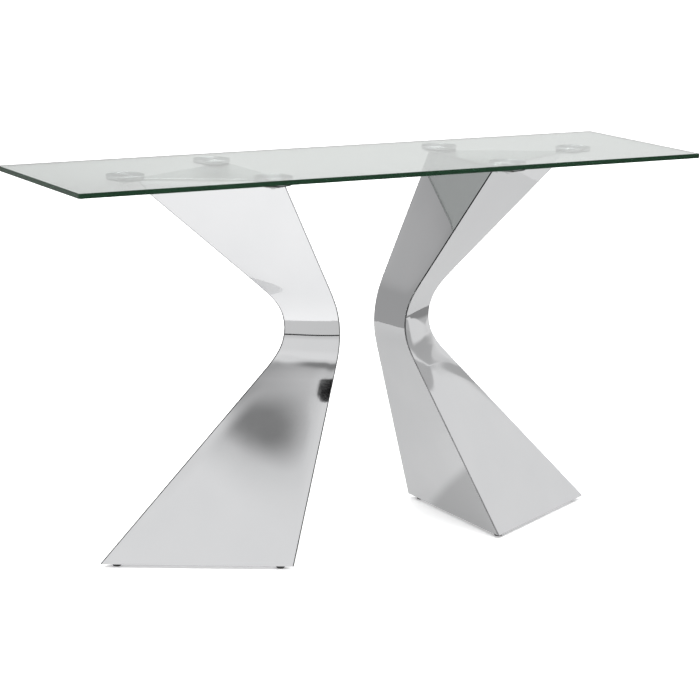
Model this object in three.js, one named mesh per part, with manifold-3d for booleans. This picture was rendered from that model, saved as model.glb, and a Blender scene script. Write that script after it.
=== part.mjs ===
// Console table: a clear glass slab on two waisted, three-sided legs of polished sheet steel.
//
// Millimetres, +Z up, +X along the table's length, front towards -Y.
// The origin is on the floor below the middle of the glass.
// A leg is built standing on the +X half, and the other leg is the same leg turned half a turn about Z.
// Every horizontal section of a leg is an isosceles triangle. Its base faces the middle of the table
// and its apex points to the table's end. The section narrows to a waist at the knee.

import * as THREE from "three";
import { mergeVertices } from "three/addons/utils/BufferGeometryUtils.js";
import Module from "manifold-3d";

const wasm = await Module();
wasm.setup();

// ---------------------------------------------------------------- driving dimensions

const CLEARANCE = 0.3; // left between pieces that touch

const GLASS = { length: 1400, width: 400, thickness: 10, topHeight: 780, cornerRadius: 3, arris: 0.8 };

const LEG = {
  bottom: 8, // height of the shell's lower rim
  sheet: 1.5, // thickness of the polished sheet
  // Each long edge runs straight from foot to knee and on to head, rounded at the knee: [distance, height].
  inner: { foot: [239, 8], knee: [57.7, 452], head: [236.7, 760], radius: 147 },
  halfWidth: { foot: [184.3, 8], knee: [55.7, 447], head: [125.5, 760], radius: 262 },
  outer: { foot: [576, 8], knee: [125.3, 452.7], head: [495.6, 760], radius: 90 },
};
const EASE = 32; // over this height a straight run eases into its knee
const EASE_STEPS = 6; // heights averaged on each side for that
const KNEE_ROWS = 18; // rows of facets round the knee
const RUN_ROWS = 5; // rows of facets along each straight run
const SHEET_COLUMNS = 3; // facets across a panel, because its surface is slightly twisted

// Radii are of the round shape itself, and a `hole` is a hole's radius.
const DISC = {
  radius: 37.5,
  height: 5,
  chamfer: 0.8,
  hole: 3.3,
  holeRoof: 1.2, // metal left above the blind hole
  innerX: 267.5,
  innerY: 134,
  outerX: 517.5,
};
const GASKET = { radius: 36, thickness: 2, hole: 4.5 };
const TOP_PLATE = { thickness: 4, earRadius: 20, earReach: 48, earRoot: 10, hole: 3.4 };
const MOUNT_SCREW = {
  radius: 3,
  chamfer: 0.6,
  thread: 3.2, // length screwed into the disc
  headRadius: 5.8,
  headHeight: 3.6,
  headCrown: [[1, 0.4], [0.9, 0.75], [0.65, 1]], // the head's curve in shares of its radius and height
  socketFlats: 4,
  socketDepth: 2,
};

const BOTTOM_PLATE = { thickness: 4, hole: 4.6 };
const WELD_NUT = { flats: 13, height: 6.5, hole: 4.4 };
const GLIDE = { radius: 8.5, footRound: 2.2, rimChamfer: 0.6, innerX: 255.3, innerY: 156.8, outerX: 538 };
const STUD = { radius: 4, inPad: 5, abovePad: 18, chamfer: 0.8 };

// Facets round each kind of curve.
const SEGMENTS = {
  disc: 32,
  gasket: 14,
  pad: 20,
  shank: 16,
  hole: 16,
  ear: 12,
  nutHole: 10,
  footRound: 3,
  corner: 4,
};

// ---------------------------------------------------------------- heights of the stacked pieces

const glassUnderside = GLASS.topHeight - GLASS.thickness;
const discTop = glassUnderside - CLEARANCE;
const discBottom = discTop - DISC.height;
const gasketTop = discBottom - CLEARANCE;
const gasketBottom = gasketTop - GASKET.thickness;
const topPlateTop = gasketBottom - CLEARANCE;
const topPlateBottom = topPlateTop - TOP_PLATE.thickness;
const shellTop = topPlateBottom - CLEARANCE;
const bottomPlateTop = LEG.bottom + BOTTOM_PLATE.thickness;
const glideTop = LEG.bottom - CLEARANCE;

// ---------------------------------------------------------------- materials

function material(color, roughness, metalness, more = {}) {
  return new THREE.MeshStandardMaterial({ color, roughness, metalness, ...more });
}

const clearGlass = () => material(0xdfe9e4, 0.03, 0, { transparent: true, opacity: 0.35 });
const mirrorSteel = () => material(0xd8d9db, 0.06, 1);
const turnedSteel = () => material(0xcfd0d2, 0.22, 1);
const plainSteel = () => material(0xa9abad, 0.38, 1);
const blackRubber = () => material(0x141414, 0.8, 0);
const blackPlastic = () => material(0x171717, 0.55, 0);

// ---------------------------------------------------------------- general helpers

function solidOf(geometry) {
  const bare = geometry.clone();
  bare.deleteAttribute("normal");
  bare.deleteAttribute("uv");
  const merged = mergeVertices(bare, 1e-4);
  const mesh = new wasm.Mesh({
    numProp: 3,
    vertProperties: new Float32Array(merged.attributes.position.array),
    triVerts: new Uint32Array(merged.index.array),
  });
  return new wasm.Manifold(mesh);
}

function geometryOf(solid) {
  const mesh = solid.getMesh();
  const geometry = new THREE.BufferGeometry();
  geometry.setAttribute("position", new THREE.BufferAttribute(mesh.vertProperties, 3));
  geometry.setIndex(new THREE.BufferAttribute(mesh.triVerts, 1));
  geometry.computeVertexNormals();
  return geometry;
}

function node(name, geometry, finish, position = [0, 0, 0]) {
  const mesh = new THREE.Mesh(geometry, finish);
  mesh.name = name;
  mesh.position.set(...position);
  return mesh;
}

// A shape in the XY plane as a plate standing on the height `bottom`.
function plate(shape, bottom, thickness, curveSegments = SEGMENTS.nutHole) {
  const geometry = new THREE.ExtrudeGeometry(shape, { depth: thickness, bevelEnabled: false, curveSegments });
  return geometry.translate(0, 0, bottom);
}

// A solid turned about Z from [radius, height] points in clockwise order, from the axis back to the axis.
function turned(profile, segments) {
  const points = profile.map(([radius, height]) => new THREE.Vector2(radius, height)).reverse();
  return new THREE.LatheGeometry(points, segments).rotateX(Math.PI / 2);
}

function circlePath(radius) {
  const path = new THREE.Path();
  path.absarc(0, 0, radius, 0, 2 * Math.PI, true);
  return path;
}

// A hexagonal prism about Z, given its width across flats.
function hexPrism(flats, bottom, height) {
  const corner = flats / Math.sqrt(3);
  const prism = new THREE.CylinderGeometry(corner, corner, height, 6).rotateX(Math.PI / 2);
  return prism.translate(0, 0, bottom + height / 2);
}

// The solid that drills a plate's hole right through it, and reaches past both its faces.
function drill(x, y, bottom, { hole, thickness }) {
  const reach = 3 * thickness;
  const geometry = new THREE.CylinderGeometry(hole, hole, reach, SEGMENTS.hole);
  return solidOf(geometry.rotateX(Math.PI / 2).translate(x, y, bottom + thickness / 2));
}

// ---------------------------------------------------------------- the leg's sections

// A coordinate along one long edge as a function of height: two straight runs joined by an arc.
function bentEdge({ foot, knee, head, radius }) {
  const start = new THREE.Vector2(...foot);
  const corner = new THREE.Vector2(...knee);
  const end = new THREE.Vector2(...head);
  const down = start.clone().sub(corner).normalize();
  const up = end.clone().sub(corner).normalize();
  const halfAngle = Math.acos(down.dot(up)) / 2;
  const tangent = radius / Math.tan(halfAngle);
  const arcStart = corner.clone().addScaledVector(down, tangent);
  const arcEnd = corner.clone().addScaledVector(up, tangent);
  const inward = down.clone().add(up).normalize();
  const centre = corner.clone().addScaledVector(inward, radius / Math.sin(halfAngle));
  const along = (from, direction, height) => from.x + (direction.x / direction.y) * (height - from.y);
  const at = (height) => {
    if (height <= arcStart.y) return along(arcStart, down, height);
    if (height >= arcEnd.y) return along(arcEnd, up, height);
    return centre.x - Math.sqrt(radius ** 2 - (height - centre.y) ** 2);
  };
  // The mean of the heights near this one, the nearest counting most.
  const eased = (height) => {
    let sum = 0;
    let total = 0;
    for (let step = -EASE_STEPS; step <= EASE_STEPS; step += 1) {
      const share = EASE_STEPS + 1 - Math.abs(step);
      sum += share * at(height + (EASE * step) / EASE_STEPS);
      total += share;
    }
    return sum / total;
  };
  return { at: eased, arcStart: arcStart.y - EASE, arcEnd: arcEnd.y + EASE };
}

const innerEdge = bentEdge(LEG.inner);
const widthEdge = bentEdge(LEG.halfWidth);
const outerEdge = bentEdge(LEG.outer);
const edges = [innerEdge, widthEdge, outerEdge];
const kneeStart = Math.min(...edges.map((edge) => edge.arcStart));
const kneeEnd = Math.max(...edges.map((edge) => edge.arcEnd));

// The outer triangle at a height, anticlockwise from above: -Y base corner, apex, +Y base corner.
function section(height) {
  const x = innerEdge.at(height);
  const y = widthEdge.at(height);
  return [new THREE.Vector2(x, -y), new THREE.Vector2(outerEdge.at(height), 0), new THREE.Vector2(x, y)];
}

const sideDirection = (corners, side) => corners[(side + 1) % 3].clone().sub(corners[side]).normalize();
const outwardOf = (direction) => new THREE.Vector2(direction.y, -direction.x);

// How far a side moves outwards for each millimetre of height, which is how much the panel leans.
function lean(height, side) {
  const below = section(height - 1);
  const above = section(height + 1);
  const outward = outwardOf(sideDirection(section(height), side));
  const middle = (corners) => corners[side].clone().add(corners[(side + 1) % 3]).multiplyScalar(0.5);
  return middle(above).sub(middle(below)).dot(outward) / 2;
}

// The triangle whose sides lie `depth` inside the outer surface, measured square to each panel.
function insetSection(height, depth) {
  const corners = section(height);
  const shifts = [0, 1, 2].map((side) => depth * Math.hypot(1, lean(height, side)));
  return corners.map((corner, index) => {
    const before = (index + 2) % 3;
    const a = sideDirection(corners, before);
    const b = sideDirection(corners, index);
    // The corner moves so that it is shifts[before] inside one side and shifts[index] inside the other.
    const sine = a.cross(b);
    return corner.clone().addScaledVector(a, -shifts[index] / sine).addScaledVector(b, shifts[before] / sine);
  });
}

function heightRows(from, to, count) {
  return Array.from({ length: count }, (_, row) => from + ((to - from) * row) / count);
}

const shellRows = [
  ...heightRows(LEG.bottom, kneeStart, RUN_ROWS),
  ...heightRows(kneeStart, kneeEnd, KNEE_ROWS),
  ...heightRows(kneeEnd, shellTop, RUN_ROWS),
  shellTop,
];

// ---------------------------------------------------------------- the leg's pieces

// One side of the shell at a height, from corner to corner, stopped short of the seam at both ends.
function panelLine(corners, side) {
  const start = corners[side].clone();
  const end = corners[(side + 1) % 3].clone();
  const direction = sideDirection(corners, side);
  const before = sideDirection(corners, (side + 2) % 3);
  const after = sideDirection(corners, (side + 1) % 3);
  const trim = (neighbour) => CLEARANCE / 2 / Math.sin((Math.PI - Math.acos(direction.dot(neighbour))) / 2);
  start.addScaledVector(direction, trim(before));
  end.addScaledVector(direction, -trim(after));
  const along = (column) => start.clone().lerp(end, column / SHEET_COLUMNS);
  return Array.from({ length: SHEET_COLUMNS + 1 }, (_, column) => along(column));
}

// A bent sheet: the outer and inner surfaces as grids of points, closed round the rim.
function panelGeometry(side) {
  const skins = [0, LEG.sheet].map((depth) =>
    shellRows.map((height) => panelLine(insetSection(height, depth), side).map((p) => [p.x, p.y, height])),
  );
  const rows = shellRows.length;
  const columns = SHEET_COLUMNS + 1;
  const positions = skins.flat(3);
  const index = [];
  const at = (skin, row, column) => (skin * rows + row) * columns + column;
  const quad = (a, b, c, d) => index.push(a, b, c, a, c, d);
  for (let row = 0; row < rows - 1; row++) {
    for (let column = 0; column < columns - 1; column++) {
      quad(at(0, row, column), at(0, row, column + 1), at(0, row + 1, column + 1), at(0, row + 1, column));
      quad(at(1, row, column), at(1, row + 1, column), at(1, row + 1, column + 1), at(1, row, column + 1));
    }
    const last = columns - 1;
    quad(at(0, row, 0), at(0, row + 1, 0), at(1, row + 1, 0), at(1, row, 0));
    quad(at(0, row, last), at(1, row, last), at(1, row + 1, last), at(0, row + 1, last));
  }
  for (let column = 0; column < columns - 1; column++) {
    const top = rows - 1;
    quad(at(0, 0, column), at(1, 0, column), at(1, 0, column + 1), at(0, 0, column + 1));
    quad(at(0, top, column), at(0, top, column + 1), at(1, top, column + 1), at(1, top, column));
  }
  const geometry = new THREE.BufferGeometry();
  geometry.setAttribute("position", new THREE.Float32BufferAttribute(positions, 3));
  geometry.setIndex(index);
  geometry.computeVertexNormals();
  return geometry;
}

// Places of the three mounting discs and of the three glides, each in the order of the section's corners.
const discPlaces = [[DISC.innerX, -DISC.innerY], [DISC.outerX, 0], [DISC.innerX, DISC.innerY]];
const glidePlaces = [[GLIDE.innerX, -GLIDE.innerY], [GLIDE.outerX, 0], [GLIDE.innerX, GLIDE.innerY]];

// A round-ended tongue from a disc's centre towards the middle of the leg's top.
function earShape([x, y], centre) {
  const heading = Math.atan2(centre.y - y, centre.x - x);
  const farX = x + TOP_PLATE.earReach * Math.cos(heading);
  const farY = y + TOP_PLATE.earReach * Math.sin(heading);
  const shape = new THREE.Shape();
  shape.absarc(x, y, TOP_PLATE.earRadius, heading + Math.PI / 2, heading + (3 * Math.PI) / 2, false);
  shape.absarc(farX, farY, TOP_PLATE.earRoot, heading - Math.PI / 2, heading + Math.PI / 2, false);
  return shape;
}

// The plate that closes the top of the shell, with an ear under each disc and a screw hole in each ear.
function topPlateGeometry() {
  const corners = section(topPlateTop);
  const centre = corners.reduce((sum, corner) => sum.add(corner), new THREE.Vector2()).multiplyScalar(1 / 3);
  let solid = solidOf(plate(new THREE.Shape(corners), topPlateBottom, TOP_PLATE.thickness));
  for (const place of discPlaces) {
    const ear = plate(earShape(place, centre), topPlateBottom, TOP_PLATE.thickness, SEGMENTS.ear);
    solid = solid.add(solidOf(ear));
  }
  for (const [x, y] of discPlaces) {
    solid = solid.subtract(drill(x, y, topPlateBottom, TOP_PLATE));
  }
  return geometryOf(solid);
}

// The plate welded inside the lower rim, with a hole for each glide's stud. The panels lean, so its
// outline is what fits between them at its lower face and at its upper face.
function bottomPlateGeometry() {
  const outline = (height) => new THREE.Shape(insetSection(height, LEG.sheet + CLEARANCE));
  const blank = (height) => solidOf(plate(outline(height), LEG.bottom, BOTTOM_PLATE.thickness));
  let solid = blank(LEG.bottom).intersect(blank(bottomPlateTop));
  for (const [x, y] of glidePlaces) {
    solid = solid.subtract(drill(x, y, LEG.bottom, BOTTOM_PLATE));
  }
  return geometryOf(solid);
}

// ---------------------------------------------------------------- the small pieces

// Turned disc that is bonded to the glass, with a blind threaded hole from below.
function discGeometry() {
  const { radius, height, chamfer, hole, holeRoof } = DISC;
  const profile = [
    [0, height],
    [radius - chamfer, height],
    [radius, height - chamfer],
    [radius, chamfer],
    [radius - chamfer, 0],
    [hole, 0],
    [hole, height - holeRoof],
    [0, height - holeRoof],
  ];
  return turned(profile, SEGMENTS.disc);
}

function gasketGeometry() {
  const shape = new THREE.Shape();
  shape.absarc(0, 0, GASKET.radius, 0, 2 * Math.PI, false);
  shape.holes.push(circlePath(GASKET.hole));
  return plate(shape, 0, GASKET.thickness, SEGMENTS.gasket);
}

// Socket-head screw, its head below and its shank up through the ear and gasket into the disc.
function mountScrewGeometry() {
  const { radius, chamfer, thread, headRadius, headHeight, headCrown } = MOUNT_SCREW;
  const shank = topPlateTop - topPlateBottom + GASKET.thickness + 3 * CLEARANCE + thread;
  const crown = headCrown.map(([across, down]) => [across * headRadius, -down * headHeight]);
  const profile = [
    [0, shank],
    [radius - chamfer, shank],
    [radius, shank - chamfer],
    [radius, 0],
    [headRadius, 0],
    ...crown,
    [0, -headHeight],
  ];
  const body = solidOf(turned(profile, SEGMENTS.shank));
  const { socketFlats, socketDepth } = MOUNT_SCREW;
  const socket = solidOf(hexPrism(socketFlats, -headHeight - socketDepth, 2 * socketDepth));
  return geometryOf(body.subtract(socket));
}

// Round black pad of a glide, with its lower edge rounded and a blind hole for the stud.
function glidePadGeometry() {
  const { radius, footRound, rimChamfer } = GLIDE;
  const hole = STUD.radius + CLEARANCE;
  const holeFloor = glideTop - STUD.inPad - CLEARANCE;
  const round = Array.from({ length: SEGMENTS.footRound + 1 }, (_, step) => {
    const angle = (step * Math.PI) / 2 / SEGMENTS.footRound;
    return [radius - footRound * (1 - Math.cos(angle)), footRound * (1 - Math.sin(angle))];
  });
  const bore = [[0, holeFloor], [hole, holeFloor], [hole, glideTop]];
  const rim = [[radius - rimChamfer, glideTop], [radius, glideTop - rimChamfer]];
  return turned([...bore, ...rim, ...round, [0, 0]], SEGMENTS.pad);
}

function glideStudGeometry() {
  const { radius, inPad, abovePad, chamfer } = STUD;
  const top = glideTop + abovePad;
  const bottom = glideTop - inPad;
  const profile = [[0, top], [radius - chamfer, top], [radius, top - chamfer], [radius, bottom], [0, bottom]];
  return turned(profile, SEGMENTS.shank);
}

function weldNutGeometry() {
  const corner = WELD_NUT.flats / Math.sqrt(3);
  const corners = Array.from({ length: 6 }, (_, k) => {
    const angle = (k * Math.PI) / 3;
    return new THREE.Vector2(corner * Math.cos(angle), corner * Math.sin(angle));
  });
  const shape = new THREE.Shape(corners);
  shape.holes.push(circlePath(WELD_NUT.hole));
  return plate(shape, 0, WELD_NUT.height);
}

function glassGeometry() {
  const { length, width, thickness, cornerRadius, arris } = GLASS;
  const x = length / 2 - arris;
  const y = width / 2 - arris;
  const r = cornerRadius - arris;
  const shape = new THREE.Shape();
  shape.absarc(x - r, y - r, r, 0, Math.PI / 2, false);
  shape.absarc(-x + r, y - r, r, Math.PI / 2, Math.PI, false);
  shape.absarc(-x + r, -y + r, r, Math.PI, (3 * Math.PI) / 2, false);
  shape.absarc(x - r, -y + r, r, (3 * Math.PI) / 2, 2 * Math.PI, false);
  const geometry = new THREE.ExtrudeGeometry(shape, {
    depth: thickness - 2 * arris,
    bevelThickness: arris,
    bevelSize: arris,
    bevelSegments: 1,
    curveSegments: SEGMENTS.corner,
  });
  return geometry.translate(0, 0, glassUnderside + arris);
}

// ---------------------------------------------------------------- assembly

// One leg on the +X half. `turnedRound` says that it will be turned to the -X half, where its -Y side
// comes to the back.
function leg(prefix, turnedRound) {
  const group = new THREE.Group();
  const near = turnedRound ? "back" : "front";
  const far = turnedRound ? "front" : "back";
  const sides = [near, far, "inner"];
  const corners = [near, "outer", far];
  sides.forEach((label, side) => {
    group.add(node(`${prefix}_${label}_panel`, panelGeometry(side), mirrorSteel()));
  });
  group.add(node(`${prefix}_top_plate`, topPlateGeometry(), mirrorSteel()));
  group.add(node(`${prefix}_bottom_plate`, bottomPlateGeometry(), plainSteel()));
  corners.forEach((label, corner) => {
    const name = (piece) => `${prefix}_${label}_${piece}`;
    const [discX, discY] = discPlaces[corner];
    const [glideX, glideY] = glidePlaces[corner];
    const nutBottom = bottomPlateTop + CLEARANCE;
    group.add(node(name("glass_disc"), discGeometry(), turnedSteel(), [discX, discY, discBottom]));
    group.add(node(name("gasket"), gasketGeometry(), blackRubber(), [discX, discY, gasketBottom]));
    const headTop = topPlateBottom - CLEARANCE;
    group.add(node(name("mount_screw"), mountScrewGeometry(), plainSteel(), [discX, discY, headTop]));
    group.add(node(name("weld_nut"), weldNutGeometry(), plainSteel(), [glideX, glideY, nutBottom]));
    group.add(node(name("glide_pad"), glidePadGeometry(), blackPlastic(), [glideX, glideY, 0]));
    group.add(node(name("glide_stud"), glideStudGeometry(), plainSteel(), [glideX, glideY, 0]));
  });
  if (turnedRound) group.rotation.z = Math.PI;
  return group;
}

const table = new THREE.Group();
table.add(node("glass_top", glassGeometry(), clearGlass()));
table.add(leg("left_leg", true));
table.add(leg("right_leg", false));

export default table;
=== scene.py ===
"""Looks of the console table: clear glass on two waisted legs of mirror-polished sheet steel.

Metres, +Z up, +X along the table, front towards -Y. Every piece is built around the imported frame.
Each leg's section is a triangle: its base faces the middle of the table and its apex the table's end.
"""

import math

import bpy
from mathutils import Matrix, Vector, noise


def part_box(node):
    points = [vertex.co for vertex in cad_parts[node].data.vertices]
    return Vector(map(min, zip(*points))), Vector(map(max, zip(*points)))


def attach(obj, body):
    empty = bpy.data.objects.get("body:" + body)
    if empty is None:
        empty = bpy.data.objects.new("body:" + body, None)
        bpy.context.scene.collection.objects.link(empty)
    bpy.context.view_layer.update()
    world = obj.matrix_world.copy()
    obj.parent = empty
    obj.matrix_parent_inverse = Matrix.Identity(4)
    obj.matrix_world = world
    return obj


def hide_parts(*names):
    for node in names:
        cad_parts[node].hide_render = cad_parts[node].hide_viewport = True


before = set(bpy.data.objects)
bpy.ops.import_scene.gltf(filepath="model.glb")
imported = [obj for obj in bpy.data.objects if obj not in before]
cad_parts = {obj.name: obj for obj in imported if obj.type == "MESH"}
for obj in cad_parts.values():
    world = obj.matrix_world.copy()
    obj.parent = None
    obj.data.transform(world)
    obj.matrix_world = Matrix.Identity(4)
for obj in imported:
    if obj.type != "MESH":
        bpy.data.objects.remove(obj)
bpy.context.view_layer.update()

# ------------------------------------------------------------------ driving dimensions

GAP = 0.0003  # left between pieces that touch

# Each long edge of a leg runs straight from foot to knee and on to head, rounded at the knee.
# The points are (distance, height): from the table's middle, or from the leg's own middle plane.
INNER_EDGE = {"foot": (0.2390, 0.008), "knee": (0.0577, 0.4520), "head": (0.2367, 0.760), "radius": 0.147}
HALF_WIDTH = {"foot": (0.1843, 0.008), "knee": (0.0557, 0.4470), "head": (0.1255, 0.760), "radius": 0.262}
OUTER_EDGE = {"foot": (0.5760, 0.008), "knee": (0.1253, 0.4527), "head": (0.4956, 0.760), "radius": 0.090}

SHEET = 0.0015  # thickness of the polished sheet
EASE = 0.032  # over this height a run eases into its knee
EASE_STEPS = 6  # heights averaged on either side for that
FOLD_RADIUS = 0.0013  # rounding of the sheet along its seams
WELD = 0.0008  # width of the strip beside the rounding that takes the weld's dark finish and its painted shade
RUN_ROWS = 26  # rows of faces along each straight run of a leg
KNEE_ROWS = 64  # rows of faces round its knee
COLUMNS = 22  # faces across a panel
FOLD_STEPS = 4  # faces round a seam's rounding

# Waves left by bending and polishing: their heights away from the knee and at it, their length, how far
# they fade towards an edge, and how far from the knee's middle the bend shows.
RIPPLE = {"flat": 0.00003, "knee": 0.00034, "length": 0.10, "fade": 0.02, "bend": 0.09}

# The polishing wheel rounds a sheet towards its folds over this width, and towards a base corner's fold
# over the wide one near a height just under the knee. The slopes are those reached at the fold.
ROLL_OFF = {
    "slope": 0.019,
    "apex_slope": 0.004,
    "width": 0.024,
    "wide": 0.050,
    "height": 0.345,
    "fade": 0.055,
}

GLASS_EDGE = 0.0008  # ground edge along the glass's rims
GLASS_CORNER = 0.003  # its rounding in plan
BOND = 0.00002  # thickness of the bond between glass and disc

EAR_RADIUS = 0.020  # round end of a top plate's ear, under its disc
EAR_REACH = 0.048  # from there to the ear's root, inside the leg
EAR_ROOT = 0.010  # half the ear's width at its root

DISC_BORE = {"radius": 0.0033, "roof": 0.0012}  # blind hole under a disc, and the metal left above it
DISC_RIM = 0.001  # a disc is polished as far in from its radius
GASKET_HOLE = 0.0045  # radii of the holes that screws and studs pass through
EAR_HOLE = 0.0034
STUD_HOLE = 0.0046
STUD_SEAT = 0.0053  # depth of the stud's seat in its pad
BOTTOM_LEAN = 1.12  # the panels lean, so the space between them is that much further in

M8 = {"radius": 0.0040, "pitch": 0.00125, "depth": 0.00068}
M6 = {"radius": 0.0030, "pitch": 0.00100, "depth": 0.00054}
THREAD_SIDES = 40  # points round a thread, and round the screw's head
THREAD_LEVELS = 8  # rings for each pitch
NUT_FLATS = 0.013
NUT_BORE = M8["radius"] + 0.0004
NUT_CHAMFER = math.radians(30)
SCREW_HEAD = {"radius": 0.0058, "height": 0.0036, "flats": 0.004, "socket": 0.0020}

# ------------------------------------------------------------------ camera

CAMERA_PLACE = Vector((-2.4820, -4.3524, 1.4696))
CAMERA_YAW = math.radians(-29.53)
CAMERA_PITCH = math.radians(12.20)  # looking down
CAMERA_ROLL = math.radians(0.92)
CAMERA_LENS = 128.71
SENSOR = 36.0


def make_camera():
    yaw, pitch = CAMERA_YAW, CAMERA_PITCH
    back = Vector((math.sin(yaw) * math.cos(pitch), -math.cos(yaw) * math.cos(pitch), math.sin(pitch)))
    right = (-back).cross(Vector((0, 0, 1))).normalized()
    up = back.cross(right)
    turn = Matrix((right, up, back)).transposed() @ Matrix.Rotation(CAMERA_ROLL, 3, "Z")
    data = bpy.data.cameras.new("camera")
    data.lens = CAMERA_LENS
    data.sensor_width = SENSOR
    camera = bpy.data.objects.new("camera", data)
    camera.matrix_world = Matrix.LocRotScale(CAMERA_PLACE, turn.to_quaternion(), None)
    bpy.context.scene.collection.objects.link(camera)
    bpy.context.scene.camera = camera


# ------------------------------------------------------------------ shader node helpers


class Tree:
    """A node tree with short ways to add and join nodes."""

    def __init__(self, owner):
        owner.use_nodes = True
        self.tree = owner.node_tree
        self.tree.nodes.clear()

    def add(self, kind, settings=None, **inputs):
        node = self.tree.nodes.new(kind)
        for name, value in (settings or {}).items():
            setattr(node, name, value)
        for name, value in inputs.items():
            self.put(node.inputs[name.replace("_", " ")], value)
        return node

    def put(self, socket, value):
        if isinstance(value, bpy.types.NodeSocket):
            self.tree.links.new(value, socket)
        else:
            socket.default_value = value

    def math(self, operation, *values):
        node = self.add("ShaderNodeMath", {"operation": operation})
        for socket, value in zip(node.inputs, values):
            self.put(socket, value)
        return node.outputs[0]

    def ramp(self, value, start, end, low, high, kind="SMOOTHSTEP"):
        """Runs from low at start to high at end, and stays there."""
        node = self.add("ShaderNodeMapRange", {"interpolation_type": kind})
        for socket, number in zip(node.inputs, (value, start, end, low, high)):
            self.put(socket, number)
        return node.outputs["Result"]

    def blend(self, factor, a, b):
        node = self.add("ShaderNodeMix", {"data_type": "FLOAT"})
        for socket, value in zip((node.inputs[0], node.inputs[2], node.inputs[3]), (factor, a, b)):
            self.put(socket, value)
        return node.outputs[0]

    def tint(self, factor, a, b):
        node = self.add("ShaderNodeMix", {"data_type": "RGBA"})
        for socket, value in zip((node.inputs[0], node.inputs[6], node.inputs[7]), (factor, a, b)):
            self.put(socket, value)
        return node.outputs[2]

    def noise(self, scale, detail=2.0, stretch=(1, 1, 1)):
        place = self.add("ShaderNodeTexCoord").outputs["Object"]
        sized = self.add("ShaderNodeMapping", Vector=place, Scale=stretch).outputs[0]
        return self.add("ShaderNodeTexNoise", Vector=sized, Scale=scale, Detail=detail).outputs[0]

    def bump(self, height, strength, distance):
        node = self.add("ShaderNodeBump", Strength=strength, Distance=distance, Height=height)
        return node.outputs[0]


# ------------------------------------------------------------------ studio

FLOOR_WHITE = 0.86
FLOOR_GLOW = 0.3
FLOOR_REACH = 60  # the floor's edges are this far off

# The steel and the glass see another floor, just under the first: a darker sheet of this extent, its darker
# colour painted shade.
REFLECTED_WHITE = 0.65
REFLECTED_X = (-2.3, 1.65)
REFLECTED_Y = (-0.80, 1.45)
REFLECTED_HEIGHT = -0.0002

# Brightness of the room by elevation in degrees, from straight down to straight up.
ROOM = [
    (-90, 1.05),
    (-30, 1.0),
    (-20, 0.62),
    (-2, 0.62),
    (2, 1.0),
    (24, 1.0),
    (34, 0.84),
    (48, 0.84),
    (60, 3.2),
]

# Soft darker or lighter patches of the room: the azimuth (from +X towards +Y) and elevation of the
# middle, the angles from there at which the patch starts and ends to fade, and its brightness.
PATCHES = [
    {"towards": (-129, -14), "fade": (13, 20), "light": 0.84},  # floor before the camera
    {"towards": (-124, 34), "fade": (8, 15), "light": 1.07},  # lit wall over the camera
    {"towards": (122, 6), "fade": (24, 32), "light": 0.48},  # grey wall behind
    {"towards": (62, 10), "fade": (14, 22), "light": 0.84},  # wall that the glass shows
    {"towards": (80, 8), "fade": (6, 18), "light": 0.60},
    {"towards": (12, -15), "fade": (3, 6), "light": 0.35},
    {"towards": (-62, -8), "fade": (14, 24), "light": 0.16},  # dark doorway before the table's front edge
    {"towards": (-22, 20), "fade": (1.5, 4), "light": 5.0},  # lamp that streaks the discs
]


def stage_mesh(name, corners):
    mesh = bpy.data.meshes.new(name)
    mesh.from_pydata(corners, [], [(0, 1, 2, 3)])
    obj = bpy.data.objects.new(name, mesh)
    bpy.context.scene.collection.objects.link(obj)
    return obj


def rectangle(x_range, y_range, height):
    (x0, x1), (y0, y1) = x_range, y_range
    return [(x0, y0, height), (x1, y0, height), (x1, y1, height), (x0, y1, height)]


def soft_spot(tree, spot):
    """1 inside an ellipse of the object's own XY plane and 0 outside it, with a soft rim."""
    where = tree.add("ShaderNodeTexCoord").outputs["Object"]
    placing = {
        "Location": (*spot["place"], 0),
        "Rotation": (0, 0, math.radians(spot.get("turn", 0))),
        "Scale": (*spot["size"], 1),
    }
    moved = tree.add("ShaderNodeMapping", {"vector_type": "TEXTURE"}, Vector=where, **placing)
    reach = tree.add("ShaderNodeVectorMath", {"operation": "LENGTH"})
    tree.put(reach.inputs[0], moved.outputs[0])
    return tree.ramp(reach.outputs["Value"], 1 - spot["soft"], 1 + spot["soft"], 1, 0)


def floor_material(name, white, glow=0.0, spots=()):
    """A pale floor, with a little light of its own and with soft spots, brighter ones of painted light and
    darker ones of painted shadow.
    """
    material = bpy.data.materials.new(name)
    tree = Tree(material)
    colour = (white, white, white, 1)
    for spot in spots:
        level = spot["white"]
        colour = tree.tint(soft_spot(tree, spot), colour, (level, level, level, 1))
    shader = tree.add("ShaderNodeBsdfPrincipled", Base_Color=colour, Roughness=1.0)
    shader.inputs["Specular IOR Level"].default_value = 0.0
    shader.inputs["Emission Color"].default_value = (1, 1, 1, 1)
    shader.inputs["Emission Strength"].default_value = glow
    out = tree.add("ShaderNodeOutputMaterial")
    tree.put(out.inputs["Surface"], shader.outputs[0])
    return material


def show_only(obj, *rays):
    """obj is met by these kinds of ray alone."""
    for ray in ("camera", "diffuse", "glossy", "transmission", "shadow", "volume_scatter"):
        setattr(obj, f"visible_{ray}", ray in rays)


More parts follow.
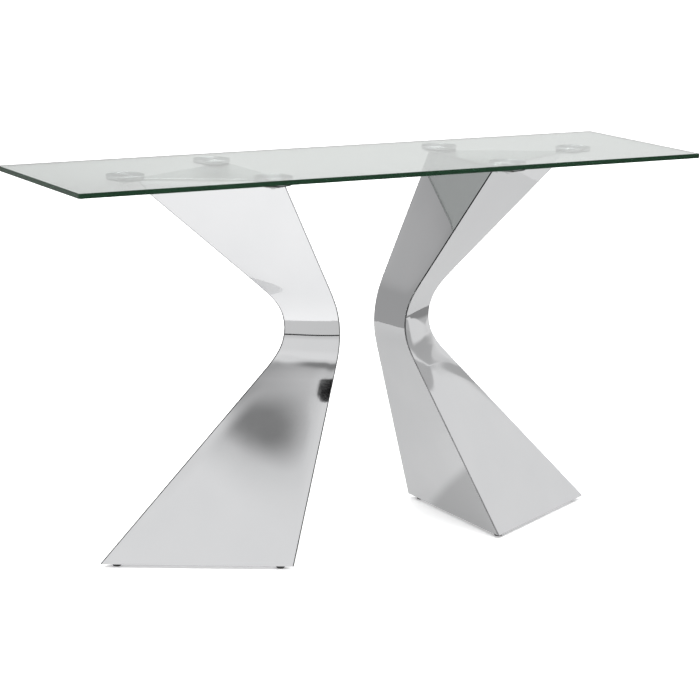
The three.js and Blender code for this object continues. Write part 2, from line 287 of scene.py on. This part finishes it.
def make_floor():
    sides = (-FLOOR_REACH, FLOOR_REACH)
    floor = stage_mesh("pale_floor", rectangle(sides, sides, 0))
    floor.data.materials.append(floor_material("pale_floor", FLOOR_WHITE, FLOOR_GLOW))
    show_only(floor, "camera", "diffuse")
    seen = stage_mesh("reflected_floor", rectangle(REFLECTED_X, REFLECTED_Y, REFLECTED_HEIGHT))
    spots = [
        # painted pool of light on the floor before the table's left half
        {"place": (-0.55, -0.45), "size": (0.9, 0.42), "soft": 0.35, "white": 0.86},
        # painted shadow on the floor under the table, beside the right leg
        {"place": (0.22, -0.12), "size": (0.22, 0.22), "soft": 0.12, "white": 0.46},
    ]
    seen.data.materials.append(floor_material("reflected_floor", REFLECTED_WHITE, spots=spots))
    show_only(seen, "glossy", "transmission")


def direction(azimuth, elevation):
    a, e = math.radians(azimuth), math.radians(elevation)
    return Vector((math.cos(a) * math.cos(e), math.sin(a) * math.cos(e), math.sin(e)))


def make_world():
    world = bpy.data.worlds.new("studio")
    bpy.context.scene.world = world
    tree = Tree(world)
    place = tree.add("ShaderNodeTexCoord").outputs["Generated"]
    height = tree.add("ShaderNodeSeparateXYZ", Vector=place).outputs["Z"]
    elevation = tree.math("DEGREES", tree.math("ARCSINE", height))
    light = ROOM[0][1]
    for (start, _), (end, level) in zip(ROOM, ROOM[1:]):
        light = tree.blend(tree.ramp(elevation, start, end, 0, 1), light, level)
    for patch in PATCHES:
        middle = tree.add("ShaderNodeVectorMath", {"operation": "DOT_PRODUCT"})
        tree.put(middle.inputs[0], place)
        tree.put(middle.inputs[1], direction(*patch["towards"]))
        angle = tree.math("DEGREES", tree.math("ARCCOSINE", middle.outputs["Value"]))
        light = tree.blend(tree.ramp(angle, *patch["fade"], 1, 0), light, patch["light"])
    glow = tree.add("ShaderNodeBackground", Color=(1, 1, 1, 1), Strength=light)
    out = tree.add("ShaderNodeOutputWorld")
    tree.put(out.inputs["Surface"], glow.outputs[0])


def make_softbox(name, place, target, width, depth, power):
    data = bpy.data.lights.new(name, "AREA")
    data.shape = "RECTANGLE"
    data.size = width
    data.size_y = depth
    data.energy = power
    lamp = bpy.data.objects.new(name, data)
    lamp.location = place
    lamp.rotation_euler = (Vector(place) - Vector(target)).to_track_quat("Z", "Y").to_euler()
    lamp.visible_glossy = False
    lamp.visible_camera = False
    lamp.visible_transmission = False
    bpy.context.scene.collection.objects.link(lamp)


def make_card(name, place, target, width, height, spots, rays=("glossy",)):
    """A clear card that only some kinds of ray meet, with soft ellipses of light or shade on it."""
    corners = rectangle((-width / 2, width / 2), (-height / 2, height / 2), 0)
    card = stage_mesh(name, corners)
    card.location = place
    card.rotation_euler = (Vector(target) - Vector(place)).to_track_quat("Z", "Y").to_euler()
    show_only(card, *rays)
    material = bpy.data.materials.new(name)
    tree = Tree(material)
    shader = tree.add("ShaderNodeBsdfTransparent").outputs[0]
    for spot in spots:
        glow = tree.add("ShaderNodeEmission", Strength=spot["light"])
        mixed = tree.add("ShaderNodeMixShader")
        for socket, value in zip(mixed.inputs, (soft_spot(tree, spot), shader, glow.outputs[0])):
            tree.put(socket, value)
        shader = mixed.outputs[0]
    out = tree.add("ShaderNodeOutputMaterial")
    tree.put(out.inputs["Surface"], shader)
    card.data.materials.append(material)


def make_cards():
    """Light and shade round the table, each placed where one side of a leg reflects it."""
    over_camera = [
        {"place": (0.284, 0.446), "size": (0.598, 0.105), "turn": 54, "soft": 0.94, "light": 0.50},
        {"place": (0.020, 0.068), "size": (0.229, 0.047), "turn": 51, "soft": 0.58, "light": 0.30},
        {"place": (0.180, 0.055), "size": (0.055, 0.175), "turn": 4, "soft": 0.65, "light": 1.0},
        {"place": (-0.128, 0.101), "size": (0.100, 0.036), "turn": 46, "soft": 0.05, "light": 0.01},
    ]
    make_card("card_over_camera", (-1.42, -1.74, 1.84), (-0.25, -0.05, 0.25), 1.4, 1.4, over_camera)
    behind = [
        {"place": (0.17, -0.24), "size": (0.30, 0.30), "soft": 0.7, "light": 0.62},
        {"place": (-0.15, 0.35), "size": (0.27, 0.27), "soft": 0.5, "light": 0.36},
    ]
    make_card("card_behind", (-0.85, 2.1, 1.55), (0.17, 0, 0.62), 1.2, 1.4, behind)
    skirting = [{"place": (0, 0), "size": (6, 0.06), "soft": 0.25, "light": 0.05}]
    make_card("skirting", (-2.35, -2.72, 0.26), (-0.13, -0.03, 0.44), 5, 0.3, skirting)
    right_wall = [
        {"place": (-0.098, -0.021), "size": (0.045, 0.055), "turn": 0, "soft": 0.08, "light": 0.60},
        {"place": (0.030, 0.003), "size": (0.097, 0.026), "turn": -18, "soft": 0.09, "light": 0.60},
        {"place": (-0.035, -0.298), "size": (0.076, 0.331), "turn": 14, "soft": 0.25, "light": 0.55},
        {"place": (-0.120, -0.603), "size": (0.050, 0.420), "turn": -6, "soft": 0.15, "light": 0.97},
    ]
    make_card("card_right", (2.1, 0.12, 0.75), (0.13, -0.05, 0.35), 1.4, 1.8, right_wall)
    # The discs see this one through the glass. The glass itself doesn't mirror it.
    overhead = [{"place": (0, 0), "size": (0.5, 0.9), "soft": 0.5, "light": 13.0}]
    rays = ("transmission",)
    make_card("card_overhead", (0.55, 0.97, 2.6), (0, 0, 0.77), 1.6, 2.6, overhead, rays)
    # A dark strip behind the glass's rear edge, met only by reflections and by rays through the glass:
    # painted shade that darkens that edge where the steel shows it.
    glass_edge = [{"place": (0, 0), "size": (0.9, 0.0045), "soft": 0.1, "light": 0.10}]
    rays = ("glossy", "transmission")
    make_card("card_glass_edge", (0, 0.2012, 0.775), (0, -1, 0.775), 1.4, 0.014, glass_edge, rays)


def make_studio():
    make_floor()
    make_world()
    make_cards()
    make_softbox("front_softbox", (-0.4, -1.7, 2.4), (-0.3, -0.9, 0), 1.6, 1.2, 38)
    bpy.context.scene.view_settings.view_transform = "Standard"


# ------------------------------------------------------------------ materials

SEAM_SHADE_TURN = 0.43  # height at which the painted shade along the welds turns from dark to pale
GLASS_IOR = 1.52


def principled(name, **inputs):
    material = bpy.data.materials.new(name)
    tree = Tree(material)
    shader = tree.add("ShaderNodeBsdfPrincipled", **inputs)
    out = tree.add("ShaderNodeOutputMaterial")
    tree.put(out.inputs["Surface"], shader.outputs[0])
    return material, tree, shader, out


def paint(tree, shader, where, first, second):
    """Colours the shader from the first RGB tint where the factor is 0 to the second where it is 1."""
    tree.put(shader.inputs["Base Color"], tree.tint(where, (*first, 1), (*second, 1)))


def roughen(tree, shader, where, smooth, rough, spread=(0.3, 0.7)):
    """Varies the roughness as the factor goes through the spread."""
    tree.put(shader.inputs["Roughness"], tree.ramp(where, *spread, smooth, rough, "LINEAR"))


def grain(tree, shader, where, strength, distance=0.0001):
    tree.put(shader.inputs["Normal"], tree.bump(where, strength, distance))


def polished_steel():
    """Mirror polish: a faint haze in clouds, and the finest lines of the polishing wheel."""
    material, tree, shader, _ = principled("polished_steel", Metallic=1.0)
    paint(tree, shader, tree.noise(9.0, 4.0), (0.60, 0.605, 0.615), (0.65, 0.652, 0.658))
    roughen(tree, shader, tree.noise(16.0, 5.0), 0.018, 0.055, (0.35, 0.75))
    grain(tree, shader, tree.noise(60.0, 3.0, (6, 6, 0.5)), 0.05, 0.00002)
    return material


def weld_with_painted_shade():
    """The weld along a fold: a near-black line, partly the joint's own dark and partly painted shade. The
    painted shade comes and goes along the leg, dark below the knee on the left leg and above it on the right,
    with a random unevenness.
    """
    material, tree, shader, _ = principled("weld_with_painted_shade", Metallic=1.0, Roughness=0.45)
    place = tree.add("ShaderNodeTexCoord").outputs["Object"]
    axes = tree.add("ShaderNodeSeparateXYZ", Vector=place)
    # painted shade: dark where X and the height above the turn have the same sign, pale elsewhere
    painted_shade_swing = tree.math("MULTIPLY", axes.outputs["X"], tree.math("SUBTRACT", axes.outputs["Z"], SEAM_SHADE_TURN))
    along = tree.ramp(painted_shade_swing, -0.02, 0.02, 1, 0)
    uneven = tree.ramp(tree.noise(40.0, 3.0), 0.4, 0.6, -0.12, 0.12)
    paint(tree, shader, tree.math("ADD", along, uneven), (0.012, 0.012, 0.013), (0.30, 0.30, 0.305))
    return material


def turned_steel():
    """Faced in a lathe: rings too fine to see spread each highlight into a bow tie. Its colour is kept far
    below the steel's own, painted shade that darkens the whole disc.
    """
    inputs = {"Metallic": 1.0, "Anisotropic": 0.93, "Anisotropic_Rotation": 0.25, "Roughness": 0.42}
    material, tree, shader, _ = principled("turned_steel", **inputs)
    # painted shade: a base far darker than the steel's own, with a random tone
    paint(tree, shader, tree.noise(70.0), (0.17, 0.17, 0.18), (0.24, 0.24, 0.25))
    rings = tree.add("ShaderNodeTangent", {"direction_type": "RADIAL", "axis": "Z"})
    tree.put(shader.inputs["Tangent"], rings.outputs[0])
    return material


def ground_plate():
    """A plate's flat face, polished less finely than the shell: reflections stretch towards the eye."""
    material, tree, shader, _ = principled("ground_plate", Metallic=1.0)
    paint(tree, shader, tree.noise(12.0, 3.0), (0.60, 0.61, 0.605), (0.66, 0.67, 0.665))
    roughen(tree, shader, tree.noise(30.0, 4.0), 0.13, 0.19)
    return material


def plain_steel():
    """Zinc-plated or rolled steel, dull, with a fine grain."""
    material, tree, shader, _ = principled("plain_steel", Metallic=1.0)
    paint(tree, shader, tree.noise(120.0), (0.40, 0.40, 0.41), (0.52, 0.52, 0.54))
    roughen(tree, shader, tree.noise(300.0), 0.30, 0.46)
    grain(tree, shader, tree.noise(900.0, 4.0), 0.15)
    return material


def black_rubber():
    material, tree, shader, _ = principled("black_rubber", Roughness=0.62)
    paint(tree, shader, tree.noise(200.0), (0.010, 0.010, 0.011), (0.022, 0.022, 0.023))
    grain(tree, shader, tree.noise(1500.0, 3.0), 0.2)
    return material


def black_plastic():
    material, tree, shader, _ = principled("black_plastic", Roughness=0.42)
    paint(tree, shader, tree.noise(150.0), (0.012, 0.012, 0.013), (0.026, 0.026, 0.027))
    grain(tree, shader, tree.noise(1200.0, 2.0), 0.15)
    return material


def glass_edge():
    """The ground rim: it scatters a little of the dark green light that runs inside the slab."""
    inputs = {"Transmission_Weight": 0.35, "IOR": GLASS_IOR, "Roughness": 0.12}
    material, tree, shader, _ = principled("glass_edge", **inputs)
    paint(tree, shader, tree.noise(25.0, 3.0), (0.0055, 0.023, 0.0105), (0.009, 0.034, 0.016))
    return material


def clear_glass():
    """Float glass with its iron green, which darkens the long way through an edge."""
    colour = (1.0, 1.0, 1.0, 1)
    inputs = {"Base_Color": colour, "Transmission_Weight": 1.0, "IOR": GLASS_IOR, "Roughness": 0.0}
    material, tree, _, out = principled("clear_glass", **inputs)
    iron = tree.add("ShaderNodeVolumeAbsorption", Color=(0.09, 0.39, 0.22, 1), Density=10.0)
    tree.put(out.inputs["Volume"], iron.outputs[0])
    return material


FINISHES = [
    polished_steel,
    weld_with_painted_shade,
    turned_steel,
    ground_plate,
    plain_steel,
    black_rubber,
    black_plastic,
    clear_glass,
    glass_edge,
]
MAKERS = {make.__name__: make for make in FINISHES}
finishes = {}  # each is made when a piece first asks for it

# ------------------------------------------------------------------ mesh helpers

SMOOTH_BELOW = math.radians(38)  # edges sharper than this stay crisp
CORNER_STEPS = 4  # faces round a turned piece's rounded corner
AXIS_RADIUS = 1e-6  # a turned piece's points on its axis keep this far from it


def shade(obj):
    """Smooth shading that keeps flat faces flat beside their small roundings."""
    mesh = obj.data
    mesh.shade_smooth()
    mesh.set_sharp_from_angle(angle=SMOOTH_BELOW)
    weighting = obj.modifiers.new("flat_faces_lead", "WEIGHTED_NORMAL")
    weighting.keep_sharp = True
    weighting.mode = "FACE_AREA"


def finish_of(name):
    if name not in finishes:
        finishes[name] = MAKERS[name]()
    return finishes[name]


def make_piece(node, points, faces, finish, body, slot=None):
    """A fine mesh that stands for the CAD node, in its place and on its body."""
    mesh = bpy.data.meshes.new(f"{node}_fine")
    mesh.from_pydata([tuple(p) for p in points], [], faces)
    mesh.validate()
    obj = bpy.data.objects.new(f"{node}_fine", mesh)
    bpy.context.scene.collection.objects.link(obj)
    shade(obj)
    mesh.materials.append(finish_of(finish))
    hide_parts(node)
    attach(obj, body)
    return obj


def loft(rings, closed_ends=True):
    """Faces between rings of points of equal length, each running anticlockwise seen from beyond the last."""
    count = len(rings[0])
    points = [p for ring in rings for p in ring]
    faces = []
    for row in range(len(rings) - 1):
        for k in range(count):
            a, b = row * count + k, row * count + (k + 1) % count
            faces.append((a, b, b + count, a + count))
    if closed_ends:
        last = (len(rings) - 1) * count
        faces.append(tuple(reversed(range(count))))
        faces.append(tuple(range(last, last + count)))
    return points, faces


def rounded(profile):
    """Points from (radius, height) corners, where a third number is the rounding of that corner."""
    made = []
    for k, corner in enumerate(profile):
        point = Vector(corner[:2])
        rounding = corner[2] if len(corner) > 2 else 0
        if not rounding:
            made.append(point)
            continue
        before = (Vector(profile[k - 1][:2]) - point).normalized()
        after = (Vector(profile[(k + 1) % len(profile)][:2]) - point).normalized()
        half = math.acos(max(-1, min(1, before.dot(after)))) / 2
        centre = point + (before + after).normalized() * (rounding / math.sin(half))
        tangent = rounding / math.tan(half)
        first = point + before * tangent - centre
        turn = first.angle_signed(point + after * tangent - centre)
        for step in range(CORNER_STEPS + 1):
            made.append(centre + Matrix.Rotation(-turn * step / CORNER_STEPS, 2) @ first)
    return made


def ring_of(middle, radius, height, count):
    """A ring of points, where radius is a number or gives one for each angle."""
    angles = [2 * math.pi * k / count for k in range(count)]
    reach = radius if callable(radius) else lambda angle: radius
    return [(middle.x + reach(a) * math.cos(a), middle.y + reach(a) * math.sin(a), height) for a in angles]


def turned(centre, profile, segments):
    """A solid turned about the upright line through centre, from the corners of half its section."""
    return loft([ring_of(centre, max(p.x, AXIS_RADIUS), p.y, segments) for p in rounded(profile)])


# ------------------------------------------------------------------ the leg's sections

APEX = 1  # the place of the apex among a section's corners
NUDGE = 0.001  # a slope is measured between this far below and above


def bent_edge(edge):
    """A coordinate along one long edge as a function of height, and the heights where its arc ends."""
    foot, knee, head = (Vector(edge[name]) for name in ("foot", "knee", "head"))
    radius = edge["radius"]
    down = (foot - knee).normalized()
    up = (head - knee).normalized()
    half = math.acos(down.dot(up)) / 2
    tangent = radius / math.tan(half)
    arc_start = knee + down * tangent
    arc_end = knee + up * tangent
    centre = knee + (down + up).normalized() * (radius / math.sin(half))

    def at(height):
        if height <= arc_start.y:
            return arc_start.x + down.x / down.y * (height - arc_start.y)
        if height >= arc_end.y:
            return arc_end.x + up.x / up.y * (height - arc_end.y)
        return centre.x - math.sqrt(radius**2 - (height - centre.y) ** 2)

    def eased(height):
        """The mean of heights near this one, the nearest counting most."""
        steps = range(-EASE_STEPS, EASE_STEPS + 1)
        shares = [EASE_STEPS + 1 - abs(k) for k in steps]
        return sum(w * at(height + EASE * k / EASE_STEPS) for w, k in zip(shares, steps)) / sum(shares)

    return eased, arc_start.y - EASE, arc_end.y + EASE


inner_at, inner_start, inner_end = bent_edge(INNER_EDGE)
width_at, width_start, width_end = bent_edge(HALF_WIDTH)
outer_at, outer_start, outer_end = bent_edge(OUTER_EDGE)
knee_start = min(inner_start, width_start, outer_start)
knee_end = max(inner_end, width_end, outer_end)
knee_middle = (knee_start + knee_end) / 2


def section(height):
    """The leg's triangle at a height, anticlockwise from above: -Y base corner, apex, +Y base corner."""
    x, y = inner_at(height), width_at(height)
    return [Vector((x, -y)), Vector((outer_at(height), 0)), Vector((x, y))]


def side_direction(corners, side):
    """The way along a side, from its own corner to the next."""
    return (corners[(side + 1) % 3] - corners[side]).normalized()


def outward_of(heading):
    """The way out of the leg, square to a side."""
    return Vector((heading.y, -heading.x))


def rows(start, end, count):
    """Evenly spaced heights from start, without the end itself."""
    return [start + (end - start) * k / count for k in range(count)]


# ------------------------------------------------------------------ the leg's panels


def level_thickness(height, side):
    """The sheet's thickness measured level, which is more than its own where the panel leans."""
    around = (section(height - NUDGE), section(height + NUDGE))
    low, high = ((corners[side] + corners[(side + 1) % 3]) / 2 for corners in around)
    lean = (high - low).dot(outward_of(side_direction(section(height), side))) / (2 * NUDGE)
    return SHEET * math.hypot(1, lean)


def sheet_profile(length, own, before, after):
    """A bent sheet's section as (along, depth) points, with both folds rounded and mitred.

    own is the sheet's level thickness. before and after are half the shell's corner angle at that
    fold and the next sheet's level thickness. Depth is measured inwards, square to the sheet."""
    radius = FOLD_RADIUS

    def fold(half_angle, next_one):
        """From the outer face round to the mitre, as (from the corner, depth)."""
        reach = radius / math.tan(half_angle)
        turn = math.pi / 2 - half_angle
        angles = [turn * k / FOLD_STEPS for k in range(FOLD_STEPS + 1)]
        bend = [(reach - radius * math.sin(a), radius * (1 - math.cos(a))) for a in angles]
        root = ((next_one + own * math.cos(2 * half_angle)) / math.sin(2 * half_angle), SHEET)
        slit = GAP / 2 / math.sin(half_angle)
        return [(along + slit, depth) for along, depth in [(reach + WELD, 0), *bend, root]]

    def between(start, end, depth):
        return [(start + (end - start) * k / COLUMNS, depth) for k in range(1, COLUMNS)]

    before, after = fold(*before), fold(*after)
    face = between(before[0][0], length - after[0][0], 0)
    back = between(length - after[-1][0], before[-1][0], SHEET)
    far_side = [(length - along, depth) for along, depth in after]
    return list(reversed(before)) + face + far_side + back


def rolled_off(height, from_fold, corner):
    """How far the wheel has taken the face back beside the fold at this corner of the section."""
    width, slope = ROLL_OFF["width"], ROLL_OFF["apex_slope"]
    if corner != APEX:
        nearness = math.exp(-(((height - ROLL_OFF["height"]) / ROLL_OFF["fade"]) ** 2))
        width += (ROLL_OFF["wide"] - width) * nearness
        slope = ROLL_OFF["slope"]
    return slope / 2 * width * max(0.0, 1 - from_fold / width) ** 2


def ripple(point, from_fold, from_rim, from_knee):
    """How far the polished face waves about its true surface here."""
    share = min(1.0, from_fold / RIPPLE["fade"], from_rim / RIPPLE["fade"])
    still = share**2 * (3 - 2 * share)
    bent = math.exp(-((from_knee / RIPPLE["bend"]) ** 2))
    height = RIPPLE["flat"] + (RIPPLE["knee"] - RIPPLE["flat"]) * bent
    return height * still * 2 * noise.noise(point / RIPPLE["length"])


def panel_mesh(side, bottom, top, turn, seed):
    """One side of the shell. Its skin is the true surface pushed out or in by the polisher's work."""
    next_side, last_side = (side + 1) % 3, (side + 2) % 3
    heights = rows(bottom, knee_start, RUN_ROWS) + rows(knee_start, knee_end, KNEE_ROWS)
    heights += rows(knee_end, top, RUN_ROWS) + [top]
    rings = []
    for height in heights:
        corners = section(height)
        heading = side_direction(corners, side)
        outward = outward_of(heading)
        length = (corners[next_side] - corners[side]).length

        def meeting(other):
            """Half the angle to another side, and that side's level thickness."""
            half = (math.pi - heading.angle(side_direction(corners, other))) / 2
            return half, level_thickness(height, other)

        own = level_thickness(height, side)
        ring = []
        for along, depth in sheet_profile(length, own, meeting(last_side), meeting(next_side)):
            flat = corners[side] + heading * along
            before, after = max(0.0, along), max(0.0, length - along)
            from_rim = min(height - bottom, top - height)
            wave = ripple(Vector((*flat, height)) + seed, min(before, after), from_rim, height - knee_middle)
            wave -= rolled_off(height, before, side)
            wave -= rolled_off(height, after, next_side)
            flat = flat - outward * (depth * own / SHEET - wave)
            ring.append((turn * flat.x, turn * flat.y, height))
        rings.append(ring)
    return loft(rings)


# ------------------------------------------------------------------ flat pieces


def arc(centre, radius, start, end, steps):
    return [
        centre + radius * Vector((math.cos(a), math.sin(a)))
        for a in (start + (end - start) * k / steps for k in range(steps + 1))
    ]


def crossing(a, a_heading, b, b_heading):
    """Where two lines in the plane meet."""
    return a + a_heading * ((b - a).cross(b_heading) / a_heading.cross(b_heading))


def plate_mesh(outline, holes, bottom, top, edge):
    """A plate of that outline with round holes, every rim eased by `edge`."""
    curve = bpy.data.curves.new("outline", "CURVE")
    curve.dimensions = "2D"
    curve.fill_mode = "BOTH"
    curve.extrude = (top - bottom) / 2 - edge
    curve.bevel_depth = edge
    curve.bevel_resolution = 2
    curve.offset = -edge
    loops = [outline] + [arc(Vector(h[0]), h[1], 0, 2 * math.pi, 48)[:-1] for h in holes]
    for loop in loops:
        spline = curve.splines.new("POLY")
        spline.points.add(len(loop) - 1)
        spline.use_cyclic_u = True
        for point, place in zip(spline.points, loop):
            point.co = (place.x, place.y, 0, 1)
    holder = bpy.data.objects.new("outline", curve)
    bpy.context.scene.collection.objects.link(holder)
    bpy.context.view_layer.update()
    made = holder.to_mesh()
    points = [v.co + Vector((0, 0, (bottom + top) / 2)) for v in made.vertices]
    faces = [tuple(p.vertices) for p in made.polygons]
    holder.to_mesh_clear()
    bpy.data.objects.remove(holder)
    bpy.data.curves.remove(curve)
    return points, faces


# ------------------------------------------------------------------ assembly

SIDES = {"left_leg": -1, "right_leg": 1}  # 1 is the leg as its edges are given, -1 that leg turned half round
ENDS = ("front", "back", "outer")


def base_ends(turn):
    """The names of the -Y and the +Y base corner of a leg's own section."""
    return ("back", "front") if turn < 0 else ("front", "back")


def mark_seams(panel):
    """Gives the rounding of both folds, and a thin strip beside it, the weld's dark finish with its painted
    shade.
    """
    panel.data.materials.append(finish_of("weld_with_painted_shade"))
    count = 2 * (FOLD_STEPS + 3) + 2 * (COLUMNS - 1)
    after = FOLD_STEPS + 2 + COLUMNS
    dark = set(range(1, FOLD_STEPS + 2)) | set(range(after, after + FOLD_STEPS + 1))
    for face in panel.data.polygons:
        if len(face.vertices) == 4 and face.index % count in dark:
            face.material_index = 1


def build_panels(prefix, turn):
    for side, label in enumerate((*base_ends(turn), "inner")):
        node = f"{prefix}_{label}_panel"
        low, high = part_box(node)
        seed = Vector((3.1 * side, 7.7 * turn, 1.3))
        points, faces = panel_mesh(side, low.z, high.z, turn, seed)
        mark_seams(make_piece(node, points, faces, "polished_steel", "table"))


def place_of(node):
    """A node's middle in plan, with its lowest and highest heights and half its width."""
    low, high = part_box(node)
    return Vector(((low.x + high.x) / 2, (low.y + high.y) / 2)), low.z, high.z, (high.x - low.x) / 2


def give_finish(piece, finish, test):
    """Gives the faces whose normal and middle pass the test another finish."""
    piece.data.materials.append(finish_of(finish))
    index = len(piece.data.materials) - 1
    for face in piece.data.polygons:
        if test(face.normal, face.center):
            face.material_index = index


def build_disc(node):
    middle, low, high, radius = place_of(node)
    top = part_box("glass_top")[0].z - BOND
    hole = DISC_BORE["radius"]
    roof = high - DISC_BORE["roof"]
    profile = [
        (0, roof),
        (hole, roof),
        (hole, low, 0.0004),
        (radius, low, 0.0008),
        (radius, top, 0.0005),
        (0, top),
    ]
    disc = make_piece(node, *turned(middle, profile, 96), "turned_steel", "table")
    rim = radius - DISC_RIM
    give_finish(disc, "polished_steel", lambda normal, face: (face.xy - middle).length > rim)


def build_gasket(node):
    middle, low, high, radius = place_of(node)
    outline = arc(middle, radius, 0, 2 * math.pi, 96)[:-1]
    points, faces = plate_mesh(outline, [(middle, GASKET_HOLE)], low, high, 0.0005)
    make_piece(node, points, faces, "black_rubber", "table")


def build_pad(node, body):
    middle, low, high, radius = place_of(node)
    bore = M8["radius"] + GAP
    floor = high - STUD_SEAT
    profile = [
        (0, low),
        (radius, low, 0.0022),
        (radius, high - 0.0012, 0.0004),
        (radius - 0.0008, high, 0.0004),
        (bore, high),
        (bore, floor),
        (0, floor),
    ]
    make_piece(node, *turned(middle, profile, 64), "black_plastic", body)


def corners_of(heights, depth=0.0):
    """The triangle that lies inside the leg at every one of the heights, drawn in by depth."""
    moved = []
    for k in range(3):
        sides = [(corners[k], side_direction(corners, k)) for corners in map(section, heights)]
        start, heading = min(sides, key=lambda side: side[0].dot(outward_of(side[1])))
        moved.append((start - outward_of(heading) * depth, heading))
    return [crossing(*moved[k - 1], *moved[k]) for k in range(3)]


def disc_places(prefix, turn):
    """The centres of a leg's discs in its own frame, in the order of the section's corners."""
    near, far = base_ends(turn)
    return [place_of(f"{prefix}_{end}_glass_disc")[0] * turn for end in (near, "outer", far)]


def eared_outline(corners, discs):
    """The triangle with a round-ended ear in place of each corner."""
    centre = sum(corners, Vector((0, 0))) / 3
    outline = []
    for k, disc in enumerate(discs):
        heading = (centre - disc).normalized()
        left = Vector((-heading.y, heading.x))
        root = disc + heading * EAR_REACH
        start, end = disc + left * EAR_RADIUS, disc - left * EAR_RADIUS
        start_heading = root + left * EAR_ROOT - start
        end_heading = root - left * EAR_ROOT - end
        before = crossing(corners[k - 1], side_direction(corners, k - 1), start, start_heading)
        after = crossing(corners[k], side_direction(corners, k), end, end_heading)
        angle = math.atan2(left.y, left.x)
        outline += [before, *arc(disc, EAR_RADIUS, angle, angle + math.pi, 28), after]
    return outline


def build_top_plate(prefix, turn):
    node = f"{prefix}_top_plate"
    _, low, high, _ = place_of(node)
    discs = disc_places(prefix, turn)
    outline = [p * turn for p in eared_outline(corners_of([high]), discs)]
    points, faces = plate_mesh(outline, [(p * turn, EAR_HOLE) for p in discs], low, high, 0.0006)
    make_piece(node, points, faces, "ground_plate", "table", "polished_steel")


def build_bottom_plate(prefix, turn):
    node = f"{prefix}_bottom_plate"
    _, low, high, _ = place_of(node)
    outline = [p * turn for p in corners_of([low, high], (SHEET + GAP) * BOTTOM_LEAN)]
    holes = [(place_of(f"{prefix}_{end}_glide_stud")[0], STUD_HOLE) for end in ENDS]
    points, faces = plate_mesh(outline, holes, low, high, 0.0004)
    make_piece(node, points, faces, "plain_steel", "table")


def threaded(middle, low, high, thread):
    """A rod from low to high with a screw thread that runs out at both ends."""
    count = max(2, round((high - low) / thread["pitch"] * THREAD_LEVELS))
    rings = []
    for row in range(count + 1):
        height = low + (high - low) * row / count
        ends = min(1.0, (height - low) / thread["pitch"], (high - height) / thread["pitch"])
        ring = []
        for k in range(THREAD_SIDES):
            share = ((height - low) / thread["pitch"] - k / THREAD_SIDES) % 1
            groove = thread["depth"] * abs(2 * share - 1)
            radius = thread["radius"] - thread["depth"] * (1 - ends) - groove * ends
            angle = 2 * math.pi * k / THREAD_SIDES
            ring.append((middle.x + radius * math.cos(angle), middle.y + radius * math.sin(angle), height))
        rings.append(ring)
    return rings


def build_stud(node, body):
    middle, low, high, _ = place_of(node)
    make_piece(node, *loft(threaded(middle, low, high, M8)), "plain_steel", body)


def hexagon(flats):
    """The distance from the middle of a hexagon to its outline at an angle."""
    return lambda angle: flats / 2 / math.cos((angle + math.pi / 6) % (math.pi / 3) - math.pi / 6)


def build_screw(node):
    """Socket-head screw: its head hangs below the ear and its thread runs up into the disc."""
    middle, low, high, _ = place_of(node)
    under = low + SCREW_HEAD["height"]
    radius = SCREW_HEAD["radius"]
    socket = hexagon(SCREW_HEAD["flats"])
    section_points = [
        (socket, low + SCREW_HEAD["socket"]),
        (socket, low + 0.0003),
        (lambda a: socket(a) + 0.0003, low),
        (radius * 0.72, low),
        (radius * 0.92, low + 0.0007),
        (radius, low + 0.0019),
        (radius, under - 0.0002),
        (radius - 0.0002, under),
        (M6["radius"], under),
    ]
    rings = [ring_of(middle, reach, height, THREAD_SIDES) for reach, height in section_points]
    rings += threaded(middle, under + 0.0001, high, M6)
    make_piece(node, *loft(rings), "plain_steel", "table")


def build_nut(node):
    middle, low, high, _ = place_of(node)
    outline = hexagon(NUT_FLATS)
    count = 72
    flat_face = NUT_FLATS / 2 * 0.98

    def chamfered(end, inward):
        """The ring where the end's cone meets the hexagon."""
        slope = inward * math.tan(NUT_CHAMFER)
        ring = ring_of(middle, outline, end, count)
        return [(x, y, end + slope * ((Vector((x, y)) - middle).length - flat_face)) for x, y, _ in ring]

    lead = 0.0003  # the bore's chamfer
    rings = [
        ring_of(middle, NUT_BORE, low + lead, count),
        ring_of(middle, NUT_BORE + lead, low, count),
        ring_of(middle, flat_face, low, count),
        chamfered(low, 1),
        chamfered(high, -1),
        ring_of(middle, flat_face, high, count),
        ring_of(middle, NUT_BORE + lead, high, count),
        ring_of(middle, NUT_BORE, high - lead, count),
    ]
    points, faces = loft(rings, closed_ends=False)
    last = len(points) - count
    faces += [(last + k, last + (k + 1) % count, (k + 1) % count, k) for k in range(count)]
    make_piece(node, points, faces, "plain_steel", "table")


def build_glass():
    low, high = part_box("glass_top")
    quarter = math.pi / 2
    outline = []
    for k, (x, y) in enumerate(((high.x, high.y), (low.x, high.y), (low.x, low.y), (high.x, low.y))):
        centre = Vector((x - math.copysign(GLASS_CORNER, x), y - math.copysign(GLASS_CORNER, y)))
        outline += arc(centre, GLASS_CORNER, k * quarter, (k + 1) * quarter, 6)
    edge = GLASS_EDGE
    rings = []
    for inset, height in ((edge, low.z), (0, low.z + edge), (0, high.z - edge), (edge, high.z)):
        shrink = Vector(((high.x - inset) / high.x, (high.y - inset) / high.y))
        rings.append([(p.x * shrink.x, p.y * shrink.y, height) for p in outline])
    glass = make_piece("glass_top", *loft(rings), "clear_glass", "table")
    give_finish(glass, "glass_edge", lambda normal, face: abs(normal.z) < 0.9)


make_camera()
make_studio()
build_glass()
for prefix, turn in SIDES.items():
    build_panels(prefix, turn)
    build_top_plate(prefix, turn)
    build_bottom_plate(prefix, turn)
    for end in ENDS:
        corner = f"{prefix}_{end}"
        glide = f"{prefix.split('_')[0]}_{end}_glide"
        build_disc(f"{corner}_glass_disc")
        build_gasket(f"{corner}_gasket")
        build_screw(f"{corner}_mount_screw")
        build_nut(f"{corner}_weld_nut")
        build_pad(f"{corner}_glide_pad", glide)
        build_stud(f"{corner}_glide_stud", glide)
